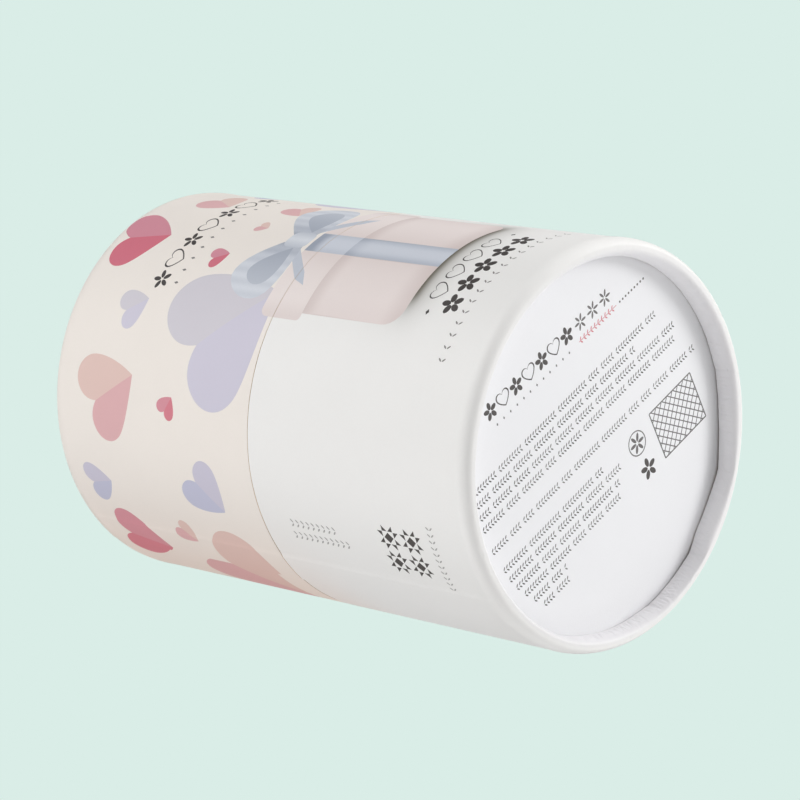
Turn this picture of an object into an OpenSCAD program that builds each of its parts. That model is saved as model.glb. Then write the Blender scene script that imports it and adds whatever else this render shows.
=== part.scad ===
// Cylindrical gift tube box of rolled paperboard. A lid tube slips over a neck
// that stands in the base tube, and both tubes are curled in at their outer end
// to hold a recessed board disc. The box stands on the curl of its base, +Z up,
// with the origin at the centre of that foot and its front towards -Y.

/* [Box] */
// Outside diameter over the printed wrap
outer_d = 95; // [80:1:120]
// Height with the lid on
total_h = 140; // [130:1:200]
// Height of the base, from the foot to the seam with the lid
base_h = 70; // [50:1:85]
// Gap between the board edges of lid and base when the lid is on
seam_gap = 0.1; // [0.05:0.05:0.5]

/* [Board and paper] */
// Thickness of the tube board
board_t = 1.2; // [1:0.05:1.4]
// Thickness of the two end discs
disc_t = 2; // [1:0.1:3]
// Thickness of the printed paper
wrap_t = 0.2; // [0.15:0.05:0.3]
// Thickness of the plain paper linings
lining_t = 0.15; // [0.1:0.05:0.2]
// How far the wraps stop short of the board edges at the seam
wrap_setback = 0.15; // [0:0.05:1]
// Width of the strip where a wrap overlaps itself
lap_w = 12; // [6:1:20]
// Direction of the overlap's open edge, in degrees from +X
lap_angle = 157; // [0:1:359]

/* [Curled ends] */
// Thickness of the curl, from the outside to a corner of its inner edge
curl_w = 3.5; // [3.3:0.1:4]
// Depth from the crest of the curl to the disc
recess_h = 4.9; // [4.5:0.1:8]
// Width of the rounding on the outside of the crest
crest_w = 1.8; // [1.6:0.1:2]
// Height of the rounding on the outside of the crest
crest_h = 4.4; // [3:0.1:6]
// Height of the rounding on the inside of the crest
lip_h = 3.2; // [2:0.1:4]
// Width of the flat ring on the crest
foot_w = 0.7; // [0.4:0.1:0.8]
// Open space between the two legs of the curled board
hem_gap = 0.6; // [0.3:0.1:0.8]
// Number of flats that the curling tool leaves on the inner edge
flats = 15; // [14:1:36]
// Direction of one corner between two flats, in degrees from +X
flat_corner = 42; // [0:1:359]

/* [Neck and lid ring] */
// Height of the neck above the seam
neck_rise = 28; // [15:1:40]
// Clearance between the neck and the inside of the lid
neck_gap = 0.15; // [0.1:0.05:0.3]
// How far the neck's paper is turned in over its top edge
turn_in = 12; // [5:1:20]
// Height of the ring that holds the lid's disc
ring_h = 12; // [6:1:20]

/* [Hidden] */
$fn = 240;
arc_steps = 12;
past = 1;

board_colour = [0.63, 0.52, 0.41];
white_colour = [0.92, 0.92, 0.91];
cream_colour = [0.92, 0.88, 0.85];
facing_colour = [0.94, 0.94, 0.95];
lining_colour = [0.86, 0.85, 0.83];

// Radii, from the outside in
outer_r = outer_d / 2;
bore_r = outer_r - wrap_t - board_t;
lid_bore_r = bore_r - lining_t;
neck_r = lid_bore_r - neck_gap;
neck_board_r = neck_r - lining_t;
neck_bore_r = neck_board_r - board_t;
cavity_r = neck_bore_r - lining_t;

// The curl: its crest, and the corners and middles of the flats inside it
crest_centre_r = outer_r - crest_w;
lip_centre_r = crest_centre_r - foot_w;
lip_corner_r = outer_r - curl_w;
lip_r = lip_corner_r * cos(180 / flats);
hem_r = bore_r - hem_gap;
hem_z = wrap_t + board_t + hem_gap / 2;

// Heights, measured from the crest of a curled end
disc_z = recess_h + wrap_t;
inside_z = disc_z + disc_t;

// Heights in the box
base_edge = base_h - seam_gap / 2;
lid_edge_h = total_h - base_h - seam_gap / 2;
neck_top = base_h + neck_rise;
disc_slack = 0.05;
liner_slack = 0.1;
lap_turn = lap_w / outer_r * 180 / PI;

// A quarter of an ellipse, from angle a to a + 90 degrees
function quarter(centre, width, height, a) = [
    for (i = [0:arc_steps])
        let (turn = a + 90 * i / arc_steps)
        centre + [width * cos(turn), height * sin(turn)]
];

// Section of a curled end, from its inner edge round the crest and up the
// outside. inset moves the line into the material.
function curl_line(inset, inner_top, outer_top) = concat(
    [[lip_r + inset, inner_top]],
    quarter([lip_centre_r, lip_h], lip_centre_r - lip_r - inset, lip_h - inset, 180),
    quarter([crest_centre_r, crest_h], crest_w - inset, crest_h - inset, -90),
    [[outer_r - inset, outer_top]]
);

// The fold line inside the curled board, from the bore back to the inner leg
function hem_line() = [
    for (i = [0:arc_steps])
        let (turn = -180 * i / arc_steps)
        [(bore_r + hem_r) / 2, hem_z] + hem_gap / 2 * [cos(turn), sin(turn)]
];

// Space inside the curl, bounded by the flats on its inner edge
module flats_core(corner_r, top) {
    translate([0, 0, -past])
        rotate([0, 0, flat_corner])
            linear_extrude(height = top + past)
                polygon([for (i = [1:flats]) corner_r * [cos(i * 360 / flats), sin(i * 360 / flats)]]);
}

module ring(inner_r, ring_outer_r, low, high) {
    rotate_extrude()
        translate([inner_r, low])
            square([ring_outer_r - inner_r, high - low]);
}

module plate(r, low, high) {
    translate([0, 0, low])
        cylinder(r = r, h = high - low);
}

// Board tube whose end at z = 0 is curled in and doubled back up to the disc
module curled_board(edge) {
    difference() {
        rotate_extrude()
            polygon(concat(
                curl_line(wrap_t, recess_h, edge),
                [[bore_r, edge]],
                hem_line(),
                [[hem_r, recess_h]]
            ));
        flats_core(lip_corner_r + wrap_t, recess_h + past);
    }
}

// Printed paper round the outside of the board, over the crest and into the recess
module curled_wrap(edge) {
    difference() {
        rotate_extrude()
            polygon(concat(
                curl_line(0, recess_h, edge),
                [[bore_r, edge], [bore_r, recess_h]]
            ));
        flats_core(lip_corner_r, recess_h + past);
        difference() {
            rotate_extrude()
                polygon(curl_line(wrap_t, edge + past, edge + past));
            flats_core(lip_corner_r + wrap_t, recess_h);
        }
    }
}

// Second layer of paper where the wrap overlaps itself, ending on the rounding
module lap_strip(edge, first_angle) {
    rotate([0, 0, first_angle])
        rotate_extrude(angle = lap_turn)
            intersection() {
                difference() {
                    polygon(curl_line(-wrap_t, edge, edge));
                    polygon(curl_line(wrap_t / 4, edge + past, edge + past));
                }
                translate([crest_centre_r, crest_h / 4])
                    square([2 * crest_w, edge - crest_h / 4]);
            }
}

// Turns a part made with its curled end down into the lid, curled end up
module as_lid() {
    translate([0, 0, total_h])
        mirror([0, 0, 1])
            children();
}

module base_tube() {
    color(board_colour)
        curled_board(base_edge);
}

module base_wrap() {
    color(white_colour) {
        curled_wrap(base_edge - wrap_setback);
        lap_strip(base_edge - wrap_setback, lap_angle);
    }
}

// Lining of the base, with the glue that fills the gap round the neck
module base_lining() {
    color(lining_colour)
        ring(neck_r, bore_r, recess_h, base_edge);
}

module base_disc() {
    color(board_colour)
        plate(neck_r - disc_slack, disc_z, inside_z);
}

module base_disc_facing() {
    color(facing_colour)
        plate(neck_r - disc_slack, recess_h, disc_z);
}

module neck_tube() {
    color(board_colour)
        ring(neck_bore_r, neck_board_r, inside_z, neck_top - lining_t);
}

// Paper on the outside of the neck, over its top edge and down inside it
module neck_wrap() {
    color(lining_colour)
        rotate_extrude()
            polygon([
                [neck_board_r, inside_z],
                [neck_r, inside_z],
                [neck_r, neck_top],
                [cavity_r, neck_top],
                [cavity_r, neck_top - turn_in],
                [neck_bore_r, neck_top - turn_in],
                [neck_bore_r, neck_top - lining_t],
                [neck_board_r, neck_top - lining_t]
            ]);
}

module neck_lining() {
    color(lining_colour)
        ring(cavity_r, neck_bore_r, inside_z, neck_top - turn_in);
}

module floor_liner() {
    color(lining_colour)
        plate(cavity_r - liner_slack, inside_z, inside_z + lining_t);
}

module lid_tube() {
    color(board_colour)
        as_lid()
            curled_board(lid_edge_h);
}

module lid_wrap() {
    color(cream_colour)
        as_lid() {
            curled_wrap(lid_edge_h - wrap_setback);
            lap_strip(lid_edge_h - wrap_setback, lap_angle);
        }
}

module lid_lining() {
    color(lining_colour)
        as_lid()
            ring(lid_bore_r, bore_r, recess_h, lid_edge_h);
}

module lid_disc() {
    color(board_colour)
        as_lid()
            plate(lid_bore_r - disc_slack, disc_z, inside_z);
}

module lid_disc_facing() {
    color(cream_colour)
        as_lid()
            plate(lid_bore_r - disc_slack, recess_h, disc_z);
}

// Short tube glued into the lid behind its disc
module lid_ring() {
    color(board_colour)
        as_lid()
            ring(lid_bore_r - board_t, lid_bore_r, inside_z, inside_z + ring_h);
}

module ceiling_liner() {
    color(lining_colour)
        as_lid()
            plate(lid_bore_r - board_t - liner_slack, inside_z, inside_z + lining_t);
}

base_tube();
base_wrap();
base_lining();
base_disc();
base_disc_facing();
neck_tube();
neck_wrap();
neck_lining();
floor_liner();
lid_tube();
lid_wrap();
lid_lining();
lid_disc();
lid_disc_facing();
lid_ring();
ceiling_liner();
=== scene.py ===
import math
import random

import bmesh
import bpy
import numpy as np
from mathutils import Euler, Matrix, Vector
from mathutils.geometry import delaunay_2d_cdt


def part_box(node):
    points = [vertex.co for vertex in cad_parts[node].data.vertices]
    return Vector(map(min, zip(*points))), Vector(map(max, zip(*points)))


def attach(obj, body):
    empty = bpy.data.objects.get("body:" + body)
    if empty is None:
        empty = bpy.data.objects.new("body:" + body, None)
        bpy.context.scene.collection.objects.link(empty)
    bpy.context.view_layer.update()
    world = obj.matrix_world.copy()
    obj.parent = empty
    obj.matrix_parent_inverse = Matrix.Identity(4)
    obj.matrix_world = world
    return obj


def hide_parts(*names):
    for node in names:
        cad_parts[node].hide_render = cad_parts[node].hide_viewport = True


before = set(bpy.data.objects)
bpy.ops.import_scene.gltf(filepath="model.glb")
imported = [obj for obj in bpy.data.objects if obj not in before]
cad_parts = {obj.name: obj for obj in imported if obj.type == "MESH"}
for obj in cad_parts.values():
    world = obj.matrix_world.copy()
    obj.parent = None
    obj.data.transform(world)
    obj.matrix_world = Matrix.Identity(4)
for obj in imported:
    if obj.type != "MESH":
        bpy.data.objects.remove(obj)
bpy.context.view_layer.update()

# A cylindrical gift tube box of rolled board. Each half is a tube whose outer end is curled
# in round a board disc, covered with printed paper. Lengths are in millimetres until a mesh
# is made. Place on the wall is s, the arc from the front to the right as seen from outside,
# and z, the height from the foot.
MM = 0.001


def reach(node):
    """Outer radius, lowest and highest height of a round CAD node."""
    low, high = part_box(node)
    return high[0] / MM, low[2] / MM, high[2] / MM


# Sizes that the frame gives
PAPER_R, FOOT_Z, BASE_PAPER_EDGE = reach("base_wrap")
LID_PAPER_EDGE, TOP_Z = reach("lid_wrap")[1:]
BOARD_R, _, BASE_BOARD_EDGE = reach("base_tube")
LID_BOARD_EDGE = reach("lid_tube")[1]
BORE_R = reach("base_lining")[0]
FACING_R, RECESS_H, DISC_Z = reach("base_disc_facing")
LID_FACING_R = reach("lid_disc_facing")[0]
NECK_R, INSIDE_Z, NECK_TOP = reach("neck_wrap")
NECK_BOARD_R, _, NECK_BOARD_TOP = reach("neck_tube")
NECK_LINING_R, _, TURN_IN_Z = reach("neck_lining")
FLOOR_R, _, FLOOR_TOP = reach("floor_liner")
LID_LINING_R, LID_LINING_LOW, LID_LINING_HIGH = reach("lid_lining")
RING_R, RING_LOW, RING_HIGH = reach("lid_ring")
CEILING_R, CEILING_LOW, CEILING_HIGH = reach("ceiling_liner")
PAPER_T = PAPER_R - BOARD_R
BOARD_T = BOARD_R - BORE_R
AROUND = 2 * math.pi * PAPER_R

# The curled end: a rounding outside, a narrow flat ring, a rounding inside
CREST_W = 1.8
CREST_H = 4.4
FOOT_W = 0.7
LIP_H = 3.2
HEM_GAP = 0.6
CREST_R = PAPER_R - CREST_W
LIP_CENTRE_R = CREST_R - FOOT_W
OVER_LEN = 5.1
LIP_LEN = 3.9
WALL_GAP = 0.28
WALL_END = RECESS_H - WALL_GAP
LID_CREST_LOW = 0.28

# The stretch of the base's crest that is pressed flatter: its middle in degrees from +X, the
# height lost there and the width that the rounding gains
PRESSED_AT = 218
PRESSED_H = 1.2
PRESSED_W = 0.6

CURL_LEN = OVER_LEN + FOOT_W + LIP_LEN + WALL_END - LIP_H

# The inner edge of the curl as the flats of the curling tool and hand pressure left it:
# direction in degrees from +X, and radius. Each sharp bend is a corner between two flats.
LIP_EDGE = [
    (-70, 43.1), (-50, 43.15), (-30, 43.15), (-14, 43.05), (2, 43.05), (8, 43.15), (9.8, 43.35),
    (13, 43.05), (18, 42.95), (25, 42.88), (29.5, 43.1), (34, 43.35), (41.7, 44.2), (46, 43.75),
    (54, 43.22), (62, 43.15), (65, 43.55), (69.7, 44.35), (74, 44.2), (84, 44.15), (92.5, 44.05),
    (98, 43.7), (111, 43.6), (123, 43.5), (136, 43.6), (160, 43.5), (184, 43.6), (207, 43.5),
    (231, 43.6), (256, 43.45), (275, 43.3),
]

# How far the paper ends short of the disc: direction in degrees from +X, and width of the gap
END_GAPS = [
    (-70, 0.24), (-20, 0.24), (0, 0.25), (20, 0.3), (34, 0.36), (42, 0.5), (55, 0.38),
    (68, 0.34), (80, 0.12), (100, 0.09), (130, 0.1), (160, 0.17), (200, 0.2),
]

# How far a wrap's trimmed edge stands back from its board's at the seam
TRIM = 0.0

# The overlap of a wrap: its open edge, the width of the doubled strip, and the print's shift
LAP_S = -94.2
LAP_W = 9.0
LAP_FADE = 1.5
PRINT_SHIFT = 0.7
# Middle and width of the stretch beside the overlap where warm light is painted into the paper
WARM_S = -108.0
WARM_W = 24.0
LAP_SINK = 0.1


def linear(colour):
    """A colour given as 0 to 255 screen values, as the light that it stands for."""
    share = np.asarray(colour, float) / 255
    return np.where(share <= 0.04045, share / 12.92, ((share + 0.055) / 1.055) ** 2.4)


# Printing inks and papers, as screen values
WHITE_PAPER = (242, 241, 239)
CREAM_PAPER = (242, 235, 228)
FACING_PAPER = (241, 241, 243)
CUT_EDGE = (222, 199, 172)
INKS = {
    "rose": (212, 113, 131), "pink": (213, 143, 158), "soft rose": (217, 131, 144),
    "soft pink": (217, 149, 160), "blush": (224, 179, 181), "peach": (228, 199, 191),
    "lavender": (195, 196, 217), "lilac": (205, 201, 217), "mist": (210, 206, 221),
    "pearl": (212, 208, 216), "charcoal": (62, 57, 55), "grey": (128, 124, 122),
    "pale grey": (168, 165, 163), "dark row": (80, 76, 74), "row": (108, 105, 104),
    "box pink": (237, 226, 223), "box shade": (217, 203, 200), "ribbon": (209, 214, 224),
    "ribbon shade": (158, 166, 181),
}


# Small steps of shape


def smooth_step(value, low, high):
    share = np.clip((value - low) / (high - low), 0, 1)
    return share * share * (3 - 2 * share)


def lip_table(turn):
    """Radius of the inner edge of a curl at each half degree, its corners a little rounded."""
    degrees = np.arange(0, 360, 0.5)
    at, radius = np.array(LIP_EDGE, float).T
    radius = np.interp(degrees, (at + turn) % 360, radius, period=360)
    kernel = np.array([1, 2, 3, 2, 1]) / 9
    padded = np.concatenate([radius[-2:], radius, radius[:2]])
    return degrees, np.convolve(padded, kernel, "valid")


def ripple(seed, periods, strengths, around=AROUND):
    """A smooth function of the arc that closes on itself, from waves of whole counts."""
    rng = random.Random(seed)
    waves = [(n, rng.uniform(0, 2 * math.pi), a) for n, a in zip(periods, strengths)]

    def value(s):
        return sum(a * np.sin(2 * math.pi * n * s / around + phase) for n, phase, a in waves)

    return value


CREASE_STEP = 0.05
CREASE_ROW = 0.1
CREASE_MAX = 0.13
CORNERS = (9.8, 29.5, 41.7, 69.7, 92.5)


def crease_table(rng, turn):
    """Depth of the fine creases that gather the paper over the curl and into the recess, at
    each step of the arc and of the path. Some start on the crest, and most inside it."""
    columns = int(AROUND / CREASE_STEP)
    path = np.arange(0, CURL_LEN + 1, CREASE_ROW)
    table = np.zeros((columns, len(path)))
    creases = []
    for _ in range(220):
        creases.append((rng.uniform(0, AROUND), rng.uniform(0.16, 0.42), rng.uniform(-0.2, 0.9),
                        rng.uniform(4.0, 7.0), rng.choice((-1, 1)) * rng.uniform(0.013, 0.045)))
    for _ in range(520):
        creases.append((rng.uniform(0, AROUND), rng.uniform(0.14, 0.3), rng.uniform(-0.3, 0.9),
                        rng.uniform(6.5, 9.0), rng.choice((-1, 1)) * rng.uniform(0.018, 0.058)))
    for corner in CORNERS:
        s = math.radians(corner + turn + 90) * PAPER_R
        creases.append((s, 0.3, 0.05, 7.0, 0.14))
    for place, width, lean, start, depth in creases:
        reach = int((3 * width + 4 * abs(lean)) / CREASE_STEP) + 8
        near = int(place / CREASE_STEP) + np.arange(-reach, reach + 1)
        gap = (near * CREASE_STEP - place)[:, None] + lean * (path - start)
        ends = smooth_step(path, start, start + 1.5)
        if width < 0.29 or start < 7:
            ends = ends * (1 - 0.75 * smooth_step(path, start + 2.5, start + 5))
        table[near % columns] -= depth * np.exp(-(gap / width) ** 2) * ends
    return CREASE_MAX * np.tanh(table / CREASE_MAX)


class Half:
    """One half of the box: where its curled end is and how its paper lies."""

    def __init__(self, body, seed):
        self.body = body
        self.is_lid = body == "lid"
        self.board_edge = TOP_Z - LID_BOARD_EDGE if self.is_lid else BASE_BOARD_EDGE
        self.edge = self.board_edge - TRIM
        turn = 37 if self.is_lid else 0
        self.lip = lip_table(turn)
        at, gap = np.array(END_GAPS, float).T
        order = np.argsort((at + turn) % 360)
        self.end_gap = ((at + turn) % 360)[order], gap[order]
        self.end_wave = ripple(seed + 5, [9, 19, 31, 53], [0.025, 0.02, 0.015, 0.01], 360)
        rng = random.Random(seed)
        self.creases = crease_table(rng, turn)
        self.wave = ripple(seed + 3, [2, 3, 5, 7], [0.012, 0.01, 0.007, 0.005])
        self.edge_wave = ripple(seed + 4, [3, 7, 12, 40], [0.03, 0.025, 0.02, 0.012])
        self.dents = [
            (rng.uniform(0, AROUND), rng.uniform(3.5, 8.5), rng.uniform(0.4, 1.3), rng.uniform(0.03, 0.09))
            for _ in range(26)
        ]

    def path_of(self, z):
        """Path along the section, 0 where the rounding starts and less than 0 on the wall."""
        local = TOP_Z - z if self.is_lid else z
        return CREST_H - local

    def z_of(self, path):
        local = CREST_H - path
        return TOP_Z - local if self.is_lid else local

    def section(self, s, path):
        """Radius and local height of the paper's outside on the section at arc s."""
        degrees = (np.degrees(s / PAPER_R) - 90) % 360
        lip = np.interp(degrees, *self.lip, period=360)
        over = np.clip(path / OVER_LEN, 0, 1) * math.pi / 2
        flat = np.clip(path - OVER_LEN, 0, FOOT_W)
        inner = np.clip((path - OVER_LEN - FOOT_W) / LIP_LEN, 0, 1) * math.pi / 2
        up = np.maximum(path - OVER_LEN - FOOT_W - LIP_LEN, 0)
        up = up * (1 + self.short(degrees))
        crest = CREST_R - PRESSED_W * self.pressed(degrees)
        low = PRESSED_H * self.pressed(degrees)
        radius = crest + (PAPER_R - crest) * np.cos(over) - flat - (crest - FOOT_W - lip) * np.sin(inner)
        height = CREST_H - (CREST_H - low) * np.sin(over) + (LIP_H - low) * (1 - np.cos(inner))
        height = height + up - np.minimum(path, 0)
        if self.is_lid:
            past_crest = smooth_step(path, OVER_LEN + FOOT_W, CURL_LEN - 1)
            height = height + LID_CREST_LOW * smooth_step(path, -2, 2.5) * (1 - past_crest)
        return radius - self.squeeze(s) * (1 - smooth_step(path, -3, 3)), height

    def pressed(self, degrees):
        """Share by which the crest is pressed flatter, on one side of the base only."""
        if self.is_lid:
            return 0
        return smooth_step(np.cos(np.radians(degrees - PRESSED_AT)), 0, 0.9)

    def squeeze(self, s):
        """How far the wall is pressed in: beside the overlap, and a little at the front right."""
        back = (LAP_S - s + AROUND / 2) % AROUND - AROUND / 2 - LAP_S
        beside = smooth_step(back, 58, 84) * (1 - smooth_step(back, 104, 118))
        front = (s - 34 + AROUND / 2) % AROUND - AROUND / 2
        return 0.33 * beside + 0.25 * np.exp(-(front / 20) ** 2)

    def short(self, degrees):
        """How much longer or shorter the paper's end in the recess is than usual."""
        gap = np.interp(degrees, *self.end_gap, period=360) + self.end_wave(degrees)
        return (WALL_GAP - gap) / (WALL_END - LIP_H)

    def lap(self, s, path):
        """Lift of the doubled strip, and the slight step that it leaves across the crest."""
        along = s - LAP_S
        strip = 1 - smooth_step(along, LAP_W, LAP_W + LAP_FADE)
        on_wall = 1 - smooth_step(path, -1, 3.5)
        before = np.exp(-(AROUND - along) / 6) * smooth_step(path, -1, 3.5)
        return PAPER_T * strip * on_wall - LAP_SINK * before

    def relief(self, s, path):
        """Small unevenness of the paper along its normal, inward or nearly so."""
        bulge = self.wave(s + 0.3 * path) - 0.034
        dents = 0
        if np.max(path) > 0:
            dents = self.crease_depth(s, path)
        for place, at, width, depth in self.dents:
            gap = (s - place + AROUND / 2) % AROUND - AROUND / 2
            dents = dents - depth * np.exp(-(gap / width) ** 2 - ((path - at) / 0.5) ** 2)
        return bulge * (1 - smooth_step(path, -3, 2)) + dents

    def crease_depth(self, s, path):
        """The creases at places on the section, between the steps of their table."""
        columns, rows = self.creases.shape
        across = s % AROUND / CREASE_STEP
        along = np.clip(path / CREASE_ROW, 0, rows - 1.001)
        i, j = across.astype(int), along.astype(int)
        u, v = across - i, along - j
        i, after = i % columns, (i + 1) % columns
        near = self.creases[i, j] * (1 - v) + self.creases[i, j + 1] * v
        far = self.creases[after, j] * (1 - v) + self.creases[after, j + 1] * v
        return (near * (1 - u) + far * u) * (path > 0)

    def cast(self, s, z):
        """Tone that multiplies the ink: painted warm light beside the overlap, over all of the lid and near the
        base's edge. On the base it also gives a cooler tone inside the curl and painted shade on the crest's
        inner side round 150 degrees from +X.
        """
        # Painted warm light: less green and blue in the paper beside the overlap
        share = np.exp(-(((s - WARM_S + AROUND / 2) % AROUND - AROUND / 2) / WARM_W) ** 2)
        if not self.is_lid:
            share = 0.75 * share * np.exp(-((BASE_PAPER_EDGE - z) / 16) ** 2)
        tone = 1 - share[:, None] * np.array([0.0, 0.11, 0.16])
        if not self.is_lid:
            inside = smooth_step(self.path_of(z), 4.5, 8)[:, None]
            tone = tone * (1 + inside * np.array([0.0, -0.005, 0.035]))
            # Painted shade: the inner side of the crest is darkened by up to 13 percent round 150 degrees from
            # +X
            degrees = (np.degrees(s / PAPER_R) - 90) % 360
            painted_shade = 0.06 * smooth_step(self.path_of(z), 4.6, 5.8) + 0.07 * smooth_step(self.path_of(z), 6, 7.5)
            painted_shade = painted_shade * np.exp(-((degrees - 150) / 30) ** 2)
            tone = tone * (1 - painted_shade[:, None])
        return tone

    def seam_wave(self, s, path):
        """How far the trimmed edge at the seam wanders, fading out on the wall."""
        near = smooth_step(-path, self.edge - CREST_H - 6, self.edge - CREST_H)
        gap = 0.02 + 0.25 * self.edge_wave(s) + 0.035 * smooth_step(-s, 60, 70) * (1 - smooth_step(-s, 92, 95))
        return gap * near

    def surface(self, s, path, inset=0.0, worn=True):
        """Points of the paper's outside, or of what lies inset under it, in millimetres."""
        step = 0.02
        r0, h0 = self.section(s, path - step)
        r1, h1 = self.section(s, path + step)
        length = np.hypot(r1 - r0, h1 - h0)
        normal_r, normal_h = -(h1 - h0) / length, (r1 - r0) / length
        radius, height = self.section(s, path)
        lift = -inset
        if worn:
            lift = lift + self.lap(s, path) + self.relief(s, path)
            height = height - self.seam_wave(s, path)
        radius = radius + lift * normal_r
        height = np.maximum(height + lift * normal_h, 0)
        angle = s / PAPER_R - math.pi / 2
        z = TOP_Z - height if self.is_lid else height
        return np.stack([radius * np.cos(angle), radius * np.sin(angle), z], -1)

    def normals(self, s, path):
        """Outward normals of the worn surface."""
        step = 0.04
        over_s = self.surface(s + step, path) - self.surface(s - step, path)
        over_path = self.surface(s, path + step) - self.surface(s, path - step)
        normal = np.cross(over_s, over_path) * (1 if self.is_lid else -1)
        return normal / np.linalg.norm(normal, axis=-1, keepdims=True)


# Outlines of the print. A shape is an outline and a function that gives its ink at s, z.


def flat(ink):
    colour = linear(INKS.get(ink, ink))
    return lambda s, z: np.broadcast_to(colour, s.shape + (3,))


def blend(first, second, share_at):
    """Ink that goes from the first to the second as share_at(s, z) goes from 0 to 1."""
    a, b = linear(INKS.get(first, first)), linear(INKS.get(second, second))

    def ink(s, z):
        share = np.clip(share_at(s, z), 0, 1)[..., None]
        return a + (b - a) * share

    return ink


def bezier(points, steps):
    """Points on a cubic curve, without the last."""
    t = np.linspace(0, 1, steps, endpoint=False)[:, None]
    a, b, c, d = (np.array(p, float) for p in points)
    return a * (1 - t) ** 3 + 3 * b * t * (1 - t) ** 2 + 3 * c * t * t * (1 - t) + d * t ** 3


HALF_HEART = [
    [(0, 1), (0.08, 1.15), (0.2, 1.26), (0.40, 1.26)],
    [(0.40, 1.26), (0.62, 1.26), (0.78, 1.08), (0.76, 0.86)],
    [(0.76, 0.86), (0.75, 0.62), (0.38, 0.22), (0, 0)],
]


def heart(tip, cleft, left_ink, right_ink, floor=None):
    """A folded heart from its tip to its cleft, one ink for each half, cut off flat below floor."""
    tip, cleft = np.array(tip, float), np.array(cleft, float)
    up = cleft - tip
    right = np.array([up[1], -up[0]])
    size = np.hypot(*up)
    steps = max(5, min(16, int(size)))
    half = np.concatenate([bezier(curve, steps) for curve in HALF_HEART] + [[(0, 0)]])
    shapes = []
    for side, ink in ((-1, left_ink), (1, right_ink)):
        outline = tip + half[:, :1] * side * right + half[:, 1:] * up
        if floor is not None:
            outline = cut_below(outline, floor)
        shapes.append((outline, flat(ink)))
    return shapes


def cut_below(outline, floor):
    """The part of an outline above a height."""
    kept = []
    for here, after in zip(outline, np.roll(outline, -1, axis=0)):
        if here[1] >= floor:
            kept.append(here)
        if (here[1] - floor) * (after[1] - floor) < 0:
            share = (floor - here[1]) / (after[1] - here[1])
            kept.append(here + share * (after - here))
    return np.array(kept)


def finer(outline, step):
    """An outline with its long edges split, so that they follow the round of the wall."""
    points = []
    for here, after in zip(outline, np.roll(outline, -1, axis=0)):
        count = max(1, math.ceil(abs(after[0] - here[0]) / step))
        points += [here + (after - here) * i / count for i in range(count)]
    return np.array(points)


def oval(centre, width, height, turn=0.0, points=14):
    a = np.linspace(0, 2 * math.pi, points, endpoint=False)
    x, y = width / 2 * np.cos(a), height / 2 * np.sin(a)
    c, s = math.cos(turn), math.sin(turn)
    return np.stack([centre[0] + c * x - s * y, centre[1] + s * x + c * y], -1)


def bar(start, end, width):
    """A straight stroke with square ends."""
    start, end = np.array(start, float), np.array(end, float)
    along = (end - start) / np.hypot(*(end - start))
    side = np.array([-along[1], along[0]]) * width / 2
    return np.array([start - side, end - side, end + side, start + side])


def lozenge(centre, width, height):
    x, y = centre
    return np.array([(x - width / 2, y), (x, y - height / 2), (x + width / 2, y), (x, y + height / 2)])


def open_lozenge(centre, width, height, stroke, ink, ground):
    grown = stroke * math.hypot(width, height) / height
    taller = stroke * math.hypot(width, height) / width
    inner = lozenge(centre, width - 2 * grown, height - 2 * taller)
    return [(lozenge(centre, width, height), ink), (inner, ground)]


def open_heart(tip, cleft, stroke, ink, ground):
    """A heart drawn as a line."""
    tip, cleft = np.array(tip, float), np.array(cleft, float)
    up = cleft - tip
    right = np.array([up[1], -up[0]])
    half = np.concatenate([bezier(curve, 5) for curve in HALF_HEART])
    mirrored = np.concatenate([[(0, 0)], (half * (-1, 1))[:0:-1]])
    turn = np.concatenate([half, mirrored])
    outer = tip + turn[:, :1] * right + turn[:, 1:] * up
    share = stroke / np.hypot(*up)
    middle = np.array([0, 0.72])
    smaller = middle + (turn - middle) * (1 - 1.5 * share)
    inner = tip + smaller[:, :1] * right + smaller[:, 1:] * up
    return [(outer, ink), (inner, ground)]


def ring(centre, width, stroke, ink, ground, points=18):
    inner = oval(centre, width - 2 * stroke, width - 2 * stroke, points=points)
    return [(oval(centre, width, width, points=points), ink), (inner, ground)]


def rosette(centre, size, petals, width, ink, turn=0.0):
    """Petals round a point, like a small printed flower."""
    shapes = []
    for i in range(petals):
        a = turn + 2 * math.pi * i / petals
        away = size * 0.28
        middle = (centre[0] + away * math.cos(a), centre[1] + away * math.sin(a))
        shapes.append((oval(middle, size * 0.42, size * width, a, 12), ink))
    return shapes


def laurel(start, end, height, pitch, inks, rng=None):
    """Pairs of small leaves along a line. With rng they stand in sprays of several pairs,
    each spray in one of the inks."""
    shapes = []
    length = math.dist(start, end)
    turn = math.atan2(end[1] - start[1], end[0] - start[0])
    along = np.array([math.cos(turn), math.sin(turn)])
    across = np.array([-along[1], along[0]]) * height * 0.27
    at, left, ink = 0.0, rng.randint(4, 12) if rng else 10 ** 6, inks[0]
    while at < length:
        middle = np.array(start) + along * at
        for side in (-1, 1):
            leaf = oval(middle + side * across, height * 0.58, height * 0.2, turn + side * 0.85, 8)
            shapes.append((leaf, ink))
        at += pitch
        left -= 1
        if left == 0:
            at += pitch
            left, ink = rng.randint(4, 12), rng.choice(inks)
    return shapes


# What is printed on the lid


# The heart that the overlap cuts through: the part on the sheet's visible edge
CUT_HEART = (-110.0, 78.9), (-93.4, 94.95), "blush", "peach", 77.1


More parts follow.
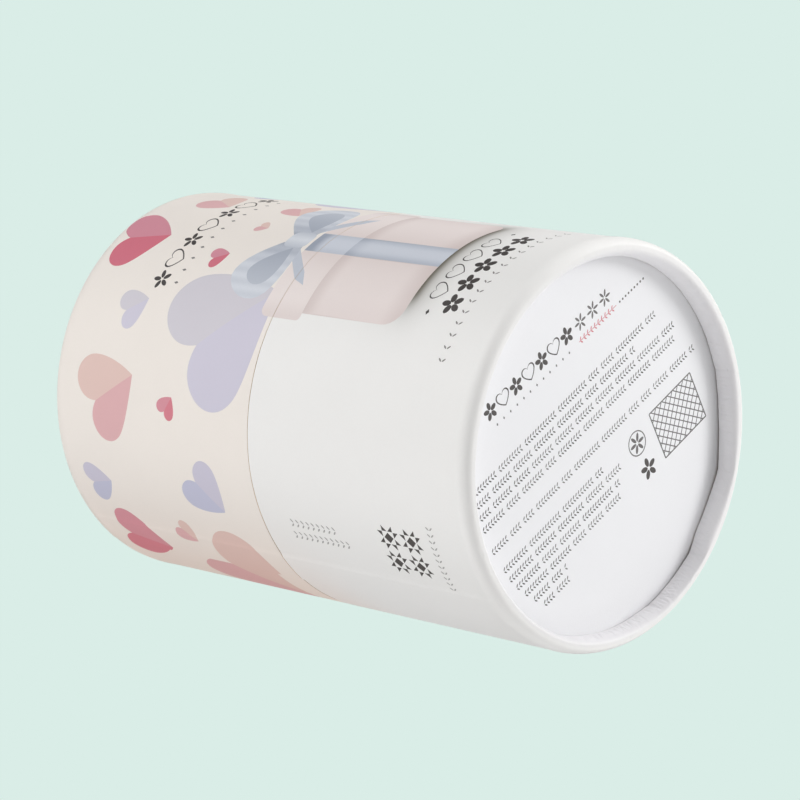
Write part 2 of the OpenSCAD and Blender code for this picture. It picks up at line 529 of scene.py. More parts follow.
def scattered_hearts():
    """The hearts that the front of the lid shows, and more of the same round its back."""
    shown = [
        ((-92.5, 114.2), (-89.3, 126.7), "soft rose", "soft pink", None),
        ((-71.2, 122.7), (-72.6, 129.8), "lavender", "lilac", None),
        ((-86.4, 100.1), (-82.7, 103.9), "blush", "peach", None),
        ((-73.8, 83.1), (-66.6, 90.4), "lavender", "lilac", None),
        ((-42.9, 111.2), (-50.5, 123.7), "blush", "peach", None),
        ((-46.6, 96.6), (-50.2, 98.9), "soft rose", "soft pink", None),
        ((-23.8, 113.2), (-27.6, 119.2), "mist", "pearl", None),
        ((-17.2, 72.4), (-33.5, 91.3), "mist", "pearl", None),
        ((-4.2, 120.8), (-7.0, 133.3), "rose", "pink", None),
        ((-8.0, 96.4), (-10.1, 100.3), "rose", "pink", None),
        ((3.1, 93.3), (3.6, 96.3), "blush", "peach", None),
        ((11.8, 116.0), (16.0, 123.5), "blush", "peach", None),
        ((11.2, 90.7), (16.2, 95.0), "blush", "peach", None),
    ]
    behind = [
        ((187.85, 77.7), (204.0, 95.3), "blush", "peach", 79.1),
        ((28.0, 75.0), (38.0, 92.0), "mist", "pearl", None),
        ((33.0, 113.0), (30.2, 121.0), "lavender", "lilac", None),
        ((47.5, 99.0), (50.0, 103.6), "rose", "pink", None),
        ((58.0, 116.0), (54.0, 128.5), "rose", "pink", None),
        ((62.0, 80.0), (55.8, 86.8), "blush", "peach", None),
        ((76.5, 99.0), (82.0, 113.5), "lavender", "lilac", None),
        ((79.0, 77.5), (82.0, 81.4), "rose", "pink", None),
        ((93.0, 121.0), (90.0, 129.5), "blush", "peach", None),
        ((103.5, 79.0), (94.0, 93.0), "blush", "peach", None),
        ((111.0, 104.0), (113.5, 108.4), "rose", "pink", None),
        ((120.5, 117.0), (125.0, 128.0), "soft rose", "soft pink", None),
        ((126.0, 84.0), (121.2, 90.0), "lavender", "lilac", None),
        ((139.5, 97.5), (143.6, 102.0), "blush", "peach", None),
        ((151.0, 77.0), (145.0, 91.0), "mist", "pearl", None),
        ((149.5, 114.5), (147.0, 122.5), "lavender", "lilac", None),
        ((165.0, 104.5), (167.5, 108.3), "rose", "pink", None),
        ((172.0, 121.0), (176.0, 128.6), "blush", "peach", None),
    ]
    shapes = []
    for tip, cleft, left_ink, right_ink, floor in shown + behind:
        shapes += heart(tip, cleft, left_ink, right_ink, floor)
    outline, ink = heart(*CUT_HEART)[1]
    shapes.append((cut_below(outline[:, ::-1], LAP_S)[:, ::-1], ink))
    return shapes


def garland(ground):
    """A row of small flowers and lozenges over a dotted line, at the front of the lid."""
    shapes = []
    dark = flat("charcoal")
    for i in range(7):
        centre = (-18.2 + 6.6 * i, 112.3)
        if i % 2 == 0:
            shapes += rosette(centre, 5.6, 5, 0.22, dark, math.pi / 2)
        else:
            shapes += open_heart((centre[0], 109.6), (centre[0], 113.7), 0.42, dark, ground)
    for i in range(11):
        shapes.append((lozenge((-18.6 + 3.85 * i, 106.9), 0.8, 1.5), flat("grey")))
    return shapes


# The printed present across the front, half of it on the lid and half on the base

BOX_W = 44.0
BOX_LOW = 31.2
COVER_W = 48.0
COVER_LOW = 61.5
COVER_HIGH = 74.6
RIBBON_W = 7.5
BOW_TOP = 91.0


def rounded_box(left, right, low, high, low_r, high_r):
    """A box with rounded corners, anticlockwise from the lower left."""
    corners = [
        ((left + low_r, low + low_r), low_r, 180), ((right - low_r, low + low_r), low_r, 270),
        ((right - high_r, high - high_r), high_r, 0), ((left + high_r, high - high_r), high_r, 90),
    ]
    points = []
    for (x, y), r, start in corners:
        for i in range(7):
            a = math.radians(start + 15 * i)
            points.append((x + r * math.cos(a), y + r * math.sin(a)))
    return np.array(points)


def bow_loop(side):
    """One loop of the bow, and the opening in it."""
    outer = [
        [(0, 77.2), (5, 75.0), (13.5, 73.6), (18.0, 76.6)],
        [(18.0, 76.6), (22.6, 80.0), (19.6, 88.6), (14.2, 90.6)],
        [(14.2, 90.6), (9.6, 92.0), (4.2, 85.4), (0, 81.4)],
    ]
    inner = [
        [(3.4, 78.6), (7.4, 77.2), (12.0, 76.6), (14.8, 78.6)],
        [(14.8, 78.6), (17.6, 81.0), (15.8, 85.4), (12.6, 86.4)],
        [(12.6, 86.4), (9.8, 87.0), (6.2, 82.4), (3.4, 78.6)],
    ]
    loops = []
    for curves in (outer, inner):
        points = np.concatenate([bezier(curve, 8) for curve in curves])
        loops.append(points * (side, 1))
    return loops


def bow_tail(side):
    return np.array([(1.2, 78.4), (10.8, 68.6), (14.6, 66.2), (13.2, 70.0), (3.4, 79.4)]) * (side, 1)


def present():
    """A wrapped present with a ribbon and a bow."""
    half = BOX_W / 2

    def body_shade(s, z):
        edge = smooth_step(np.abs(s), half - 7, half)
        middle = np.exp(-((s - 1) / 7) ** 2) * 0.5
        low = smooth_step(-z, -BOX_LOW - 7, -BOX_LOW)
        under = smooth_step(z, COVER_LOW - 5, COVER_LOW)
        return 0.25 * edge + middle + 0.7 * low + 0.8 * under

    def cover_shade(s, z):
        return 0.5 * smooth_step(np.abs(s), COVER_W / 2 - 6, COVER_W / 2) + 0.6 * np.exp(-(s / 9) ** 2)

    def ribbon_shade(s, z):
        return 0.55 * smooth_step(np.abs(s), 1, RIBBON_W / 2) + smooth_step(z, COVER_LOW - 5, COVER_LOW) * 0.4

    def cover_ribbon_shade(s, z):
        return 0.3 * smooth_step(np.abs(s), 1, RIBBON_W / 2) + 1.4 * smooth_step(z, 70, COVER_HIGH)

    def loop_shade(s, z):
        return 0.75 * np.exp(-(np.abs(s) / 6.5) ** 2) + 0.25 * np.sin(np.abs(s) * 0.9) ** 2

    shade = "box shade"
    body = rounded_box(-half, half, BOX_LOW, COVER_LOW + 1, 5, 0.2)
    cover = rounded_box(-COVER_W / 2, COVER_W / 2, COVER_LOW, COVER_HIGH, 1.2, 2.2)
    ribbon = rounded_box(-RIBBON_W / 2, RIBBON_W / 2, BOX_LOW, COVER_LOW, 0.2, 0.2)
    cover_ribbon = rounded_box(-RIBBON_W / 2, RIBBON_W / 2, COVER_LOW, COVER_HIGH, 0.2, 0.2)
    shapes = [
        (body, blend("box pink", shade, body_shade)),
        (ribbon, blend("ribbon", "ribbon shade", ribbon_shade)),
        (cover, blend((239, 229, 226), shade, cover_shade)),
        (cover_ribbon, blend("ribbon", "ribbon shade", cover_ribbon_shade)),
    ]
    for side in (-1, 1):
        shapes.append((bow_tail(side), blend("ribbon", "ribbon shade", lambda s, z: 0.3 + 0 * s)))
        outer, inner = bow_loop(side)
        shapes.append((outer, blend((219, 223, 231), "ribbon shade", loop_shade)))
        shapes.append((inner, blend("ribbon shade", (190, 196, 207), lambda s, z: np.abs(s) / 16)))
    knot = rounded_box(-3.2, 3.2, 75.6, 83.0, 2, 2)
    shapes.append((knot, blend((222, 226, 233), "ribbon shade", lambda s, z: 0.5 * np.abs(s) / 3.2)))
    return shapes


# What is printed on the base


def base_ground(s, z):
    """White, with the printed shadow of the present: dark along its foot, then a soft pool."""
    paper = linear(WHITE_PAPER)
    past_side = np.maximum(np.abs(s - 2) - 14, 0)
    below = BOX_LOW - z
    close = 0.55 * np.exp(-(past_side / 4.5) ** 2 - (below / np.where(below < 0, 5, 1.7)) ** 2)
    pool = 0.33 * np.exp(-(past_side / 8) ** 2 - (below / np.where(below < 0, 12, 5.5)) ** 2)
    shadow = close + pool
    return paper * (1 - shadow[..., None] * np.array([0.97, 0.99, 1.03]))


def lid_ground(s, z):
    return np.broadcast_to(linear(CREAM_PAPER), s.shape + (3,))


def base_borders(ground):
    """Rows of ornament under the present."""
    shapes = []
    dark, soft = flat("charcoal"), flat("grey")
    for i in range(4):
        s = -10.9 + 6.5 * i
        shapes += open_heart((s, 22.6), (s, 26.1), 0.3, dark, ground)
    for s in (-17.2, 15.1):
        shapes.append((lozenge((s, 24.6), 1.6, 1.0), dark))
    for i in range(5):
        shapes += rosette((-14.2 + 6.5 * i, 19.0), 6.0, 5, 0.28, dark, math.pi / 2)
    shapes += laurel((-28.2, 14.0), (24.0, 14.0), 2.1, 3.1, [soft])
    return shapes


def sawtooth_star(middle, cell, ink):
    """The star of a patchwork quilt, with a diamond in its middle."""
    x, y = middle
    shapes = [(lozenge(middle, cell * 1.7, cell * 1.7), ink)]
    for quarter in range(4):
        c, s = math.cos(quarter * math.pi / 2), math.sin(quarter * math.pi / 2)
        for side in (-1, 1):
            corners = np.array([(side, -1), (side, -2), (0, -1)], float)
            centre = corners.mean(axis=0)
            corners = (centre + (corners - centre) * 0.9) * cell
            turned = corners @ np.array([[c, s], [-s, c]])
            shapes.append((turned + (x, y), ink))
    return shapes


def quilt_block(low_left, size, ink):
    """Four patchwork stars in a square."""
    shapes = []
    for i in (1, 3):
        for j in (1, 3):
            middle = (low_left[0] + size * i / 4, low_left[1] + size * j / 4)
            shapes += sawtooth_star(middle, size / 8.4, ink)
    return shapes


def side_ornament():
    """Two sprigs and a patchwork block, on the left of the base."""
    soft = [flat("pale grey")]
    shapes = laurel((-76.1, 43.2), (-76.1, 61.5), 2.2, 1.7, soft)
    shapes += laurel((-72.6, 46.2), (-72.6, 61.5), 2.2, 1.7, soft)
    shapes += quilt_block((-81.6, 17.6), 13.9, flat((74, 69, 66)))
    shapes += laurel((-83.6, 14.2), (-66.2, 14.2), 2.0, 1.7, soft)
    return shapes


def repeated(shapes):
    """Shapes, and copies a turn further on for the part that the overlap hides on one side."""
    moved = []
    for outline, ink in shapes:
        if outline[:, 0].min() < LAP_S:
            shift = np.array([AROUND, PRINT_SHIFT])
            moved.append((outline + shift, lambda s, z, ink=ink: ink(s - AROUND, z - PRINT_SHIFT)))
    return shapes + moved


# Triangles over outlines


def triangles_over(points, border, outlines, tiny=1e-4):
    """Triangles inside border, over extra points and outlines. Gives the points, triangles,
    the last outline that each triangle is in or -1, and where each border point went."""
    corners = [Vector(p) for p in border] + [Vector(p) for p in points]
    faces = [list(range(len(border)))]
    for outline in outlines:
        x, y = outline[:, 0], outline[:, 1]
        turned_back = np.sum(x * np.roll(y, -1) - y * np.roll(x, -1)) < 0
        faces.append(list(range(len(corners), len(corners) + len(outline))))
        corners += [Vector(p) for p in (outline[::-1] if turned_back else outline)]
    flat_points, _, faces_out, came_from, _, within = delaunay_2d_cdt(corners, [], faces, 0, tiny, True)
    place = {}
    for i, sources in enumerate(came_from):
        for source in sources:
            place[source] = i
    kept = [(f, max(w)) for f, w in zip(faces_out, within) if 0 in w]
    return (
        np.array([tuple(p) for p in flat_points]),
        np.array([f for f, _ in kept]),
        np.array([w for _, w in kept]) - 1,
        np.array([place[i] for i in range(len(border))]),
    )


def zip_up(first, first_at, second, second_at):
    """Triangles between two lines of points, each sorted along the same way."""
    faces = []
    i = j = 0
    while i < len(first) - 1 or j < len(second) - 1:
        if j == len(second) - 1 or (i < len(first) - 1 and first_at[i + 1] <= second_at[j + 1]):
            faces.append((first[i], first[i + 1], second[j]))
            i += 1
        else:
            faces.append((first[i], second[j + 1], second[j]))
            j += 1
    return faces


def grid_faces(rows, columns, closed=False, offset=0):
    """Quads over points laid out row by row."""
    faces = []
    last = columns if closed else columns - 1
    for r in range(rows - 1):
        for c in range(last):
            d = (c + 1) % columns
            faces.append((offset + r * columns + c, offset + r * columns + d,
                          offset + (r + 1) * columns + d, offset + (r + 1) * columns + c))
    return faces


def outward_mesh(name, points, faces, material):
    """A closed mesh in metres with its faces turned outward."""
    mesh = bpy.data.meshes.new(name)
    mesh.from_pydata((np.asarray(points) * MM).tolist(), [], [tuple(map(int, f)) for f in faces])
    turned = bmesh.new()
    turned.from_mesh(mesh)
    bmesh.ops.recalc_face_normals(turned, faces=turned.faces)
    turned.to_mesh(mesh)
    turned.free()
    mesh.materials.append(material)
    mesh.polygons.foreach_set("use_smooth", [True] * len(mesh.polygons))
    return mesh


def corners_of(mesh):
    """For each face corner of a mesh, its point and its face."""
    point = np.zeros(len(mesh.loops), int)
    mesh.loops.foreach_get("vertex_index", point)
    sizes = np.zeros(len(mesh.polygons), int)
    mesh.polygons.foreach_get("loop_total", sizes)
    return point, np.repeat(np.arange(len(mesh.polygons)), sizes)


def face_normals(mesh):
    normals = np.zeros(len(mesh.polygons) * 3)
    mesh.polygons.foreach_get("normal", normals)
    return normals.reshape(-1, 3)


def lay_ink(mesh, colours):
    """Stores a colour for each face corner, which the paper's material shows."""
    layer = mesh.color_attributes.new("ink", "FLOAT_COLOR", "CORNER")
    values = np.concatenate([colours, np.ones((len(colours), 1))], axis=1)
    layer.data.foreach_set("color", values.ravel())


def ink_at(across, up, face_of, printed, within, shapes, ground):
    """Ink at each face corner: the ground, then the last shape that the face lies in. Faces
    past the printed ones, such as cut edges, keep the white of the paper."""
    colours = np.broadcast_to(linear(WHITE_PAPER), (len(face_of), 3)).copy()
    here = face_of < printed
    colours[here] = ground(across[here], up[here])
    shape_of = np.full(face_of.max() + 1, -1)
    shape_of[: len(within)] = within
    shape_at = shape_of[face_of]
    for k, (_, ink) in enumerate(shapes):
        here = shape_at == k
        if here.any():
            colours[here] = ink(across[here], up[here])
    return colours


def place_piece(name, mesh, node, body):
    """An object that stands for a CAD node and rides on its body."""
    piece = bpy.data.objects.new(name, mesh)
    bpy.context.scene.collection.objects.link(piece)
    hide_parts(node)
    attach(piece, body)
    return piece


def make_piece(name, points, faces, material, node, body):
    return place_piece(name, outward_mesh(name, points, faces, material), node, body)


# Printed paper over a curled tube

COLUMNS = 1200
CURL_ROWS = 27
JOIN = 3.6
WALL_STEP = 1.0
BACK_STEP = 5.0
BACK_ROWS = 26


def wall_points(path_end):
    """Points inside the printed sheet, closer together towards the curl."""
    rows = [(JOIN - 0.3 - 0.55 * i, COLUMNS // 2) for i in range(8)]
    path = rows[-1][0] - WALL_STEP
    while path > path_end + WALL_STEP * 0.5:
        rows.append((path, COLUMNS // 4))
        path -= WALL_STEP
    points = []
    for i, (path, count) in enumerate(rows):
        start = 0.5 if i % 2 else 1.0
        points += [(LAP_S + (k + start) * AROUND / count, path) for k in range(count - 1)]
    return points


def wall_border(path_end, columns):
    """The border of the printed sheet, and where in it the row next to the pleats is."""
    steps = int((JOIN - path_end) / WALL_STEP)
    side = [path_end + (JOIN - path_end) * i / steps for i in range(1, steps)]
    join_row = [(s, JOIN) for s in columns]
    left = [(columns[0], p) for p in reversed(side)]
    seam_row = [(s, path_end) for s in columns[::2]]
    right = [(columns[-1], p) for p in side]
    border = left + seam_row + right + join_row[::-1]
    return border, np.arange(len(border) - 1, len(border) - len(join_row) - 1, -1)


def sheet_sides(faces, s, path, path_end):
    """Border points of the printed sheet in order: the seam row, the left and the right side."""
    edges = np.sort(np.concatenate([faces[:, [0, 1]], faces[:, [1, 2]], faces[:, [2, 0]]]), axis=1)
    ends, counts = np.unique(edges, axis=0, return_counts=True)
    border = np.unique(ends[counts == 1])
    near = 0.01
    seam = border[np.abs(path[border] - path_end) < near]
    left = border[np.abs(s[border] - LAP_S) < near]
    right = border[np.abs(s[border] - LAP_S - AROUND) < near]
    return seam[np.argsort(s[seam])], left[np.argsort(path[left])], right[np.argsort(path[right])]


def printed_wrap(half, shapes, ground, material, node):
    """The printed paper of one half: a closed sheet over the tube, round the curl and into
    the recess, its open edge lying on its hidden end."""
    path_end = CREST_H - half.edge
    columns = LAP_S + AROUND * np.arange(COLUMNS + 1) / COLUMNS
    border, join_at = wall_border(path_end, columns)
    outlines = [
        finer(np.stack([outline[:, 0], half.path_of(outline[:, 1])], -1), WALL_STEP)
        for outline, _ in shapes
    ]
    wall_places, wall, within, place = triangles_over(wall_points(path_end), border, outlines)
    wall, wall_places, place = without_unused(wall, wall_places, place)
    seam, left, right = sheet_sides(wall, *wall_places.T, path_end)

    curl_path = np.linspace(JOIN, CURL_LEN, CURL_ROWS + 1)[1:]
    first = len(wall_places)
    rows = [place[join_at]]
    rows += [first + r * len(columns) + np.arange(len(columns)) for r in range(CURL_ROWS)]
    curl = []
    for near, far in zip(rows, rows[1:]):
        curl += zip(near[:-1], near[1:], far[1:], far[:-1])
    s = np.concatenate([wall_places[:, 0], np.tile(columns, CURL_ROWS)])
    path = np.concatenate([wall_places[:, 1], np.repeat(curl_path, len(columns))])
    points = half.surface(s, path)

    left = np.concatenate([left, [row[0] for row in rows[1:]]])
    right = np.concatenate([right, [row[-1] for row in rows[1:]]])
    back_places, back, seam_back, end_back = paper_back(s[seam], path_end, columns)
    back_points = half.surface(*back_places.T, PAPER_T, worn=False)
    first_back = len(points)
    seam_back, end_back = first_back + seam_back, first_back + end_back
    faces = [tuple(f) for f in wall] + curl
    printed = len(faces)
    faces += zip_up(left, path[left], right, path[right])
    faces += [tuple(f) for f in first_back + back]
    faces += zip(seam[:-1], seam[1:], seam_back[1:], seam_back[:-1])
    faces += zip(end_back[:-1], end_back[1:], rows[-1][1:], rows[-1][:-1])
    faces += [(right[0], left[0], seam_back[0]), (left[-1], right[-1], end_back[0])]

    name = half.body + "_paper"
    mesh = outward_mesh(name, np.concatenate([points, back_points]), faces, material)
    corner, face_of = corners_of(mesh)
    on_print = face_of < printed
    normals = face_normals(mesh)[face_of]
    normals[on_print] = half.normals(s, path)[corner[on_print]]
    all_s = np.concatenate([s, back_places[:, 0]])
    all_path = np.concatenate([path, back_places[:, 1]])
    corner_s, corner_path = all_s[corner], all_path[corner]
    corner_z = half.z_of(corner_path)
    ink = ink_at(corner_s, corner_z, face_of, printed, within, shapes, ground)
    ink[~on_print & (corner_path < path_end + 0.01)] = linear(CUT_EDGE)
    # The ink is multiplied by Half.cast, which paints warm light and shade into it
    lay_ink(mesh, ink * half.cast(corner_s, corner_z))
    lay_map(mesh, corner_s, corner_path, on_print, path_end)
    mesh.normals_split_custom_set(normals.tolist())
    return place_piece(name, mesh, node, half.body)


def lay_map(mesh, s, path, on_print, path_end):
    """A flat map of the sheet, named OFBake: the print below, its back above."""
    share = (path - path_end) / (CURL_LEN - path_end)
    flat_map = np.stack([(s - LAP_S) / AROUND, np.where(on_print, 0.9 * share, 0.92 + 0.08 * share)], -1)
    layer = mesh.uv_layers.new(name="OFBake")
    layer.data.foreach_set("uv", np.clip(flat_map, 0, 1).ravel())


def without_unused(faces, points, place):
    """Faces and points without the points that no face uses."""
    used = np.unique(faces)
    moved = np.full(len(points), -1)
    moved[used] = np.arange(len(used))
    return moved[faces], points[used], moved[place]


def paper_back(seam_s, path_end, columns):
    """The plain back of a wrap, a closed ring with few points that meets both edges. Gives
    its places, its faces, and its points along the seam and along the edge in the recess."""
    turn = int(AROUND / BACK_STEP)
    side = list(np.linspace(path_end, CURL_LEN, BACK_ROWS)[1:-1])
    left = [(columns[0], p) for p in reversed(side)]
    seam_row = [(s, path_end) for s in seam_s]
    right = [(columns[-1], p) for p in side]
    end_row = [(s, CURL_LEN) for s in columns[::-1]]
    border = left + seam_row + right + end_row
    inside = [(columns[0] + AROUND * (i + 0.5) / turn, p) for p in side for i in range(turn)]
    places, faces, _, place = triangles_over(inside, border, [])
    left_at = place[: len(left)]
    seam_at = place[len(left): len(left) + len(seam_row)]
    right_at = place[len(left) + len(seam_row): -len(end_row)]
    end_at = place[-len(end_row):][::-1]
    joined = np.arange(len(places))
    joined[right_at[::-1]] = left_at
    joined[seam_at[-1]] = seam_at[0]
    joined[end_at[-1]] = end_at[0]
    rows = np.concatenate([joined[seam_at], joined[end_at]])
    faces, places, rows = without_unused(joined[faces], places, rows)
    return places, faces, rows[: len(seam_at)], rows[len(seam_at):]


# Board, linings and discs


def revolved(name, section_at, columns, material, node, body):
    """A closed ring from sections round the axis: section_at(angle) gives radius and height."""
    rings = []
    for c in range(columns):
        angle = 2 * math.pi * c / columns
        radius, height = section_at(angle)
        rings.append(np.stack([radius * math.cos(angle), radius * math.sin(angle), height], -1))
    points = np.array(rings)
    rows = points.shape[1]
    faces = []
    for c in range(columns):
        d = (c + 1) % columns
        for r in range(rows):
            q = (r + 1) % rows
            faces.append((c * rows + r, d * rows + r, d * rows + q, c * rows + q))
    return make_piece(name, points.reshape(-1, 3), faces, material, node, body)


def curled_board(half, material, node):
    """The board tube of one half, curled in and doubled back, with its raw edge at the seam."""
    columns = 360
    outer_path = np.concatenate([
        np.linspace(CREST_H - half.board_edge + 0.12, -1, 14), np.linspace(0, CURL_LEN, 30),
    ])
    rough = ripple(half.is_lid + 40, [9, 17, 31, 55, 83], [0.02, 0.02, 0.015, 0.015, 0.01])
    hem_r = BORE_R - HEM_GAP
    hem_z = PAPER_T + BOARD_T + HEM_GAP / 2
    bend = [math.pi * i / 8 for i in range(9)]

    def section_at(angle):
        s = (angle + math.pi / 2) * PAPER_R
        arc = np.full(len(outer_path), (s - LAP_S) % AROUND + LAP_S)
        xyz = half.surface(arc, outer_path, PAPER_T, worn=False)
        radius = np.hypot(xyz[:, 0], xyz[:, 1])
        height = TOP_Z - xyz[:, 2] if half.is_lid else xyz[:, 2]
        edge = half.board_edge
        fuzz = rough(s)
        back_r = [hem_r] + [(BORE_R + hem_r) / 2 - HEM_GAP / 2 * math.cos(a) for a in bend]
        fold_z = hem_z + PRESSED_H * half.pressed(math.degrees(angle))
        back_z = [RECESS_H] + [fold_z - HEM_GAP / 2 * math.sin(a) for a in bend]
        top_r = [BORE_R, BORE_R + 0.1, BORE_R + 0.4, BORE_R + 0.8, BOARD_R - 0.1]
        top_z = [edge - 0.1, edge - 0.02, edge - 0.03 + fuzz / 2, edge - 0.04 - fuzz, edge - 0.02]
        all_r = np.concatenate([radius, back_r, top_r])
        all_z = np.concatenate([height, back_z, top_z])
        return all_r, TOP_Z - all_z if half.is_lid else all_z

    return revolved(half.body + "_board", section_at, columns, material, node, half.body)


RIM_POINTS = 360
DISC_STEP = 1.5
DISC_SAG = 0.06


def end_paper(half, radius, shapes, ground, material, node):
    """The paper on the face of a disc that lies in the recess, with its print if it has one."""
    turns = 2 * math.pi * np.arange(RIM_POINTS) / RIM_POINTS
    rim = [(radius * math.cos(a), radius * math.sin(a)) for a in turns]
    rows = int(radius / DISC_STEP) + 1
    inside = []
    for j in range(-rows, rows + 1):
        for i in range(-rows, rows + 1):
            u, v = (i + 0.5 * (j % 2)) * DISC_STEP, j * DISC_STEP * 0.87
            if math.hypot(u, v) < radius - DISC_STEP / 2:
                inside.append((u, v))
    places, front, within, place = triangles_over(inside, rim, [outline for outline, _ in shapes])
    front, places, place = without_unused(front, places, place)
    u, v = places.T
    hollow = DISC_SAG * (1 - np.cos(u / 21 + 1.1) * np.cos(v / 17 - 0.4)) / 2
    height = RECESS_H + hollow * (1 - smooth_step(np.hypot(u, v), 36, 43))
    points = np.stack([*print_to_disc(u, v), height], -1)
    back = points[place] + (0, 0, PAPER_T)
    middle = len(points) + len(back)
    rim_back = len(points) + np.arange(RIM_POINTS)
    points = np.concatenate([points, back, [[0, 0, DISC_Z]]])
    faces = [tuple(f) for f in front]
    printed = len(faces)
    faces += zip(place, np.roll(place, -1), np.roll(rim_back, -1), rim_back)
    faces += zip(rim_back, np.roll(rim_back, -1), [middle] * RIM_POINTS)
    if half.is_lid:
        points[:, 2] = TOP_Z - points[:, 2]
    name = half.body + "_end_paper"
    mesh = outward_mesh(name, points, faces, material)
    corner, face_of = corners_of(mesh)
    all_u = np.concatenate([u, u[place], [0]])
    all_v = np.concatenate([v, v[place], [0]])
    lay_ink(mesh, ink_at(all_u[corner], all_v[corner], face_of, printed, within, shapes, ground))
    return place_piece(name, mesh, node, half.body)


DISC_PRINT_TURN = math.radians(-2.6)


def print_to_disc(u, v):
    """From the print on the base's disc, read from below with the front up, to x and y."""
    c, s = math.cos(DISC_PRINT_TURN), math.sin(DISC_PRINT_TURN)
    return u * c + v * s, u * s - v * c


def facing_ground(u, v):
    """White, with painted shade that darkens the disc next to the wall, strongest round 30 degrees from +X."""
    x, y = print_to_disc(u, v)
    # Painted shade: up to 30 percent darker from a radius of 39.5 mm out to the wall
    depth = 0.3 * np.exp(-((np.degrees(np.arctan2(y, x)) - 30) / 33) ** 2)
    shade = 1 - depth * smooth_step(np.hypot(u, v), 39.5, 43.3)
    return linear(FACING_PAPER) * shade[..., None]


def disc_print(ground):
    """Rows of small strokes, a band of flowers, a rose sprig and a trellis panel."""
    rng = random.Random(5)
    shapes = []
    dark, soft = flat("dark row"), flat("row")
    for i in range(7):
        centre = (-25.0 + 4.75 * i, 28.1)
        if i % 2 == 0:
            shapes += rosette(centre, 4.5, 5, 0.26, dark, math.pi / 2)
        else:
            shapes += open_heart((centre[0], 26.2), (centre[0], 29.2), 0.32, dark, ground)
    for i in range(3):
        shapes += rosette((8.7 + 4.7 * i, 28.2), 4.2, 6, 0.14, soft)
    for i in range(12):
        shapes.append((lozenge((-24.6 + 2.45 * i, 24.2), 0.55, 0.8), soft))
    for i in range(9):
        shapes.append((oval((22.0 + 1.15 * i, 24.4), 0.6, 0.6, points=8), soft))
    shapes += laurel((7.0, 24.4), (20.4, 24.4), 1.7, 1.35, [flat((208, 116, 126))])
    shapes.append((bar((6.2, 24.4), (20.6, 24.4), 0.16), flat((208, 116, 126))))
    for v, u0, u1 in (
        (15, -37.5, 31), (12, -38.5, 21), (9, -39, 35.5), (6, -39.5, 33.8), (0, -39.5, 38.5),
        (-6, -38.5, -1.5), (-9, -38, 4.5), (-12, -37, 2.5), (-15, -35.5, 1), (-18, -33.7, -21.5),
        (-21, -31.5, -22.5),
    ):
        shapes += laurel((u0, v), (u1, v), 1.75, 0.97, [dark, soft, soft], rng)
    shapes += ring((11.4, -8.0), 6.2, 0.3, soft, ground, 28)
    shapes += rosette((11.4, -8.0), 5.2, 6, 0.16, soft)
    shapes += rosette((12.0, -15.6), 5.6, 5, 0.24, dark, math.pi / 2)
    shapes += trellis(18.0, 34.5, -17.2, -4.6, soft)
    return shapes


def trellis(left, right, low, high, ink):
    """A panel of crossing diagonal lines in a thin frame."""
    shapes = []
    pitch = 2.2
    width, height = right - left, high - low
    count = int((width + height) / pitch)
    for i in range(1, count):
        t = i * pitch
        a = (left + min(t, width), low + max(t - width, 0))
        b = (left + max(t - height, 0), low + min(t, height))
        shapes.append((bar(a, b, 0.26), ink))
        a = (right - min(t, width), low + max(t - width, 0))
        b = (right - max(t - height, 0), low + min(t, height))
        shapes.append((bar(a, b, 0.26), ink))
    for a, b in (((left, low), (right, low)), ((left, high), (right, high)),
                 ((left, low), (left, high)), ((right, low), (right, high))):
        shapes.append((bar(a, b, 0.34), ink))
    return shapes


def neck_paper(material):
    """The paper on the neck, over its top edge and turned in, with a straight overlap."""
    rough = ripple(61, [4, 9, 23, 47], [0.25, 0.2, 0.15, 0.1])
    lap_at = math.radians(80)
    cavity = FLOOR_R + 0.1
    ease = 0.4
    bend = [math.pi / 2 * i / 5 for i in range(6)]

    def section_at(angle):
        turn_z = TURN_IN_Z + rough(angle * PAPER_R)
        outer = NECK_R - 0.03 * (1 - smooth_step(math.cos(angle - lap_at), 0.985, 0.99))
        wall_z = np.linspace(INSIDE_Z, NECK_TOP - ease, 24)[:-1]
        over_r = [outer - ease + ease * math.cos(a) for a in bend]
        over_r += [cavity + ease - ease * math.sin(a) for a in bend]
        over_z = [NECK_TOP - ease + ease * math.sin(a) for a in bend]
        over_z += [NECK_TOP - ease + ease * math.cos(a) for a in bend]
        inner_z = np.linspace(NECK_TOP - 2, turn_z, 6)
        radius = np.concatenate([
            np.full(23, outer), over_r, np.full(6, cavity), [NECK_LINING_R] * 2, [NECK_BOARD_R] * 2
        ])
        height = np.concatenate([
            wall_z, over_z, inner_z, [turn_z, NECK_BOARD_TOP], [NECK_BOARD_TOP, INSIDE_Z]
        ])
        return radius, height

    return revolved("neck_paper", section_at, 720, material, "neck_wrap", "base")


def lining(name, outer_r, inner_r, low, high, material, node, body):
    """A thin paper tube inside another, a little uneven."""
    wave = ripple(len(name), [2, 5, 9, 14], [0.02, 0.015, 0.01, 0.008])

    def section_at(angle):
        s = angle * PAPER_R
        z = np.linspace(low, high, 30)
        inner = inner_r + 0.03 + wave(s + z * 0.4)
        radius = np.concatenate([np.full(30, outer_r), inner[::-1]])
        return radius, np.concatenate([z, z[::-1]])

    return revolved(name, section_at, 360, material, node, body)


def retaining_ring(material):
    """The short board ring that holds the lid's disc, its raw edge worn round."""
    rough = ripple(77, [5, 11, 29, 53], [0.03, 0.03, 0.02, 0.02])
    inner_r = CEILING_R + 0.1
    ease = 0.15

    def section_at(angle):
        s = angle * PAPER_R
        low = RING_LOW + abs(rough(s))
        radius = [RING_R, RING_R - ease, RING_R - 0.4, inner_r + 0.4, inner_r + ease, inner_r, inner_r]
        height = [low + ease, low, low + 0.02, low + 0.03, low, low + ease, RING_HIGH]
        return np.array(radius + [RING_R]), np.array(height + [RING_HIGH])

    return revolved("lid_ring_board", section_at, 540, material, "lid_ring", "lid")


